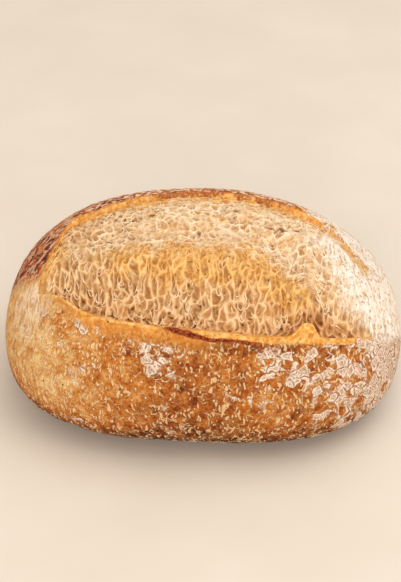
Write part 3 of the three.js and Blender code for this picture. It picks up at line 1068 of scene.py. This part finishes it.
# %% Blisters, pits and pale strokes of the crust
def spot_mask(size, radius, rarity, seed, squash=0.75):
    """Round spots on part of the cells of a pattern, each a little taller than wide."""
    stretched = skin.shifted(skin.scale(skin.surface, (1.0, 1.0, squash)), (seed, seed, seed))
    spots = skin.cells(size, where=stretched)
    there = skin.rise(skin.lot(spots), rarity, rarity + 0.04)
    return skin.product(skin.rise(spots.outputs["Distance"], radius, 0.55 * radius), there)


def stroke_mask(size, half_width, seed):
    """Short curled lines: the walls of a cell pattern, broken up by noise."""
    place = skin.shifted(skin.warped(1.6, 3.5), (seed, seed, seed))
    walls = skin.cells(size, where=place, feature="DISTANCE_TO_EDGE").outputs["Distance"]
    broken = skin.rise(skin.noise(0.8 * size, detail=1, seed=seed), 0.49, 0.55)
    return skin.product(skin.rise(walls, half_width, 0.4 * half_width), broken)


def grain_mask(size, width, rarity, seed):
    """Short strokes like grains of rice, which lean this way and that."""
    place = skin.scale(skin.warped(3.2, 9), (1.0, 1.0, 0.34))
    grains = skin.cells(size, where=skin.shifted(place, (seed, seed, seed)))
    there = skin.rise(skin.lot(grains), rarity, rarity + 0.04)
    return skin.product(skin.rise(grains.outputs["Distance"], width, 0.75 * width), there)


# %% Lay the blisters and strokes on
BURNT_TONES = {0.36: tone(86, 30, 14), 0.5: tone(148, 66, 28), 0.62: tone(206, 120, 60)}
SPECKLE_TONES = {0.35: tone(150, 84, 32), 0.65: tone(226, 162, 86)}

smooth_here = skin.product(skin.larger(skin.attribute("orange"), skin.attribute("torn_face")), 0.8)
marked_here = skin.difference(1.0, smooth_here)
blisters_shown = skin.product(spot_mask(2.8, 0.26, 0.55, 3.1, 0.7), marked_here)
strokes = skin.product(stroke_mask(5.2, 0.08, 2.0), skin.rise(skin.noise(13, detail=2, seed=20), 0.36, 0.5))
rice = skin.larger(grain_mask(2.2, 0.38, 0.5, 1.0), grain_mask(3.2, 0.3, 0.45, 7.0))
strokes = skin.product(skin.larger(strokes, rice), marked_here)
veins = skin.size_of(skin.difference(skin.noise(3.2, detail=2, rough=0.5, seed=22), 0.5))
veins = skin.product(skin.rise(veins, 0.02, 0.008), skin.rise(skin.noise(6, detail=1, seed=23), 0.5, 0.6))
pits = spot_mask(6.5, 0.1, 0.6, 5.0)
speckle = skin.ramp(skin.noise(1.0, detail=2, rough=0.6, seed=24), SPECKLE_TONES)
speckled_here = skin.rise(skin.noise(5, detail=2, seed=25), 0.45, 0.6)
colour = skin.blend(colour, speckle, skin.product(speckled_here, 0.35))
colour = skin.blend(colour, tone(232, 176, 112), skin.product(veins, 0.5))
colour = skin.blend(colour, tone(246, 206, 154), skin.product(strokes, 0.7))
colour = skin.blend(colour, tone(255, 226, 180), skin.product(blisters_shown, 0.9))
colour = skin.blend(colour, tone(112, 58, 22), skin.product(pits, 0.85))
burnt_colour = skin.ramp(skin.noise(5, detail=3, rough=0.6, seed=30), BURNT_TONES)
colour = skin.blend(colour, burnt_colour, skin.attribute("burnt"))

# %% Flour of the crust, broken into scales
SCALE_SIZE = 6.4
POWDER_TONES = {0.38: tone(182, 134, 98), 0.5: tone(212, 180, 154), 0.62: tone(242, 224, 206)}

curled = skin.warped(2.4, 6)
scale_walls = skin.cells(SCALE_SIZE, where=curled, feature="DISTANCE_TO_EDGE").outputs["Distance"]
scale_lot = skin.lot(skin.cells(SCALE_SIZE, where=curled))
open_here = skin.rise(skin.noise(5, detail=1, seed=19), 0.4, 0.55)
crack = skin.product(skin.rise(scale_walls, 0.075, 0.035), open_here)
outline = skin.product(skin.rise(scale_walls, 0.05, 0.08), skin.rise(scale_walls, 0.17, 0.12))
patches = skin.noise(12, detail=3, rough=0.6, seed=7)
dusting = skin.sum(skin.attribute("flour"), skin.product(skin.difference(scale_lot, 0.5), 0.6))
dusting = skin.sum(dusting, skin.product(skin.difference(patches, 0.5), 1.5))
dusted = skin.rise(dusting, 0.46, 0.6)
flour_mask = skin.product(dusted, skin.difference(1.0, crack))
powder = skin.ramp(skin.noise(1.1, detail=2, rough=0.6, seed=6), POWDER_TONES)
powder = skin.blend(powder, tone(252, 236, 214), skin.product(outline, 0.85))
powder = skin.blend(powder, tone(156, 94, 50), skin.product(crack, 0.75))
colour = skin.blend(colour, powder, skin.product(dusted, 0.9))

# %% Brushed flour, the dark foot with painted contact shade, and the dark line with painted crease shade
CHAR_AND_SHADE_TONES = {0.4: tone(92, 24, 10), 0.62: tone(176, 84, 44)}

brushed_place = skin.scale(skin.warped(2.4, 6), (0.55, 0.6, 0.6))
brushed = skin.rise(skin.noise(2.2, detail=1, rough=0.5, where=brushed_place, seed=18), 0.515, 0.555)
colour = skin.blend(colour, tone(250, 208, 172), skin.product(brushed, skin.attribute("brushed")))
# The foot darkened: crust baked darker on the stone, with painted contact shade where it meets the floor.
colour = skin.blend(colour, tone(104, 58, 28), skin.product(skin.attribute("scorched_and_contact_shade"), 0.75))
dark_line_noise = skin.noise(1.4, detail=2, rough=0.6, seed=9)
# The dark line under the lip: burnt crust with painted crease shade.
char_and_shade_share = skin.rise(skin.sum(skin.attribute("char_and_crease_shade"), skin.difference(dark_line_noise, 0.5)), 0.25, 0.65)
colour = skin.blend(colour, skin.ramp(dark_line_noise, CHAR_AND_SHADE_TONES), char_and_shade_share)

# %% Ends of the bloom on the crust
STRETCHED_TONES = {0.36: tone(186, 126, 74), 0.5: tone(230, 184, 130), 0.62: tone(252, 226, 186)}

colour = skin.blend(colour, crumb_colour(skin), skin.attribute("crumby"))
stretch_place = skin.scale(skin.warped(1.5, 8), (1.0, 0.16, 0.16))
stretch_marks = skin.noise(1.5, detail=3, rough=0.6, where=stretch_place, seed=12)
streaked_share = skin.product(skin.attribute("streaked"), 0.75)
colour = skin.blend(colour, skin.ramp(stretch_marks, STRETCHED_TONES), streaked_share)
over_streaks = skin.product(skin.product(strokes, skin.attribute("streaked")), 0.6)
colour = skin.blend(colour, tone(252, 222, 174), over_streaks)
colour = floured(skin, colour, skin.attribute("white"))
skin.feed(skin.shader.inputs["Base Color"], colour)
skin.feed(skin.shader.inputs["Roughness"], 0.75)
skin.feed(skin.shader.inputs["Specular IOR Level"], 0.12)

# %% Bumps of the crust
SKIN_BUMP = 0.8

bumps = skin.sum(skin.product(blisters_shown, 0.6), skin.product(strokes, 0.6))
bumps = skin.sum(bumps, skin.product(flour_mask, 0.2))
bumps = skin.difference(bumps, pits)
bumps = skin.sum(bumps, skin.noise(2.2, detail=4, rough=0.6, seed=10))
bumps = skin.product(bumps, skin.difference(1.0, skin.product(skin.attribute("white"), 0.75)))
bumps = skin.product(bumps, skin.difference(1.0, skin.product(skin.attribute("burnt"), 0.5)))
skin.feed(skin.shader.inputs["Normal"], skin.relief(bumps, SKIN_BUMP))
skin.wear(crust)
print("crust finish has", len(skin.nodes), "nodes")

# %% [markdown]
# The crumb wears the colours that the ends of the bloom have on the crust, with a fine grain in its surface.
# The strands dried first, so they are paler and smoother, and golden where they stand on the toasted fold.

# %% Finish of the crumb
inner = Finish("torn_crumb")
inner.feed(inner.shader.inputs["Base Color"], floured(inner, crumb_colour(inner), inner.attribute("white")))
inner.feed(inner.shader.inputs["Roughness"], 0.7)
inner.feed(inner.shader.inputs["Specular IOR Level"], 0.25)
inner.feed(inner.shader.inputs["Normal"], inner.relief(inner.noise(0.9, detail=3, seed=3), 0.25))
inner.wear(crumb)
print("crumb finish has", len(inner.nodes), "nodes")

# %% Finish of the strands
thread = Finish("loose_strands")
dried = thread.noise(2.5, detail=3, rough=0.6, seed=15)
pale = thread.ramp(dried, {0.35: tone(224, 186, 138), 0.6: tone(250, 226, 188)})
golden = thread.ramp(dried, {0.35: tone(214, 146, 70), 0.6: tone(246, 204, 136)})
colour = thread.blend(pale, golden, thread.rise(thread.attribute("toast"), 0.15, 0.8))
thread.feed(thread.shader.inputs["Base Color"], floured(thread, colour, thread.attribute("white")))
thread.feed(thread.shader.inputs["Roughness"], 0.6)
thread.feed(thread.shader.inputs["Specular IOR Level"], 0.3)
thread.feed(thread.shader.inputs["Normal"], thread.relief(dried, 0.2))
thread.wear(strands)
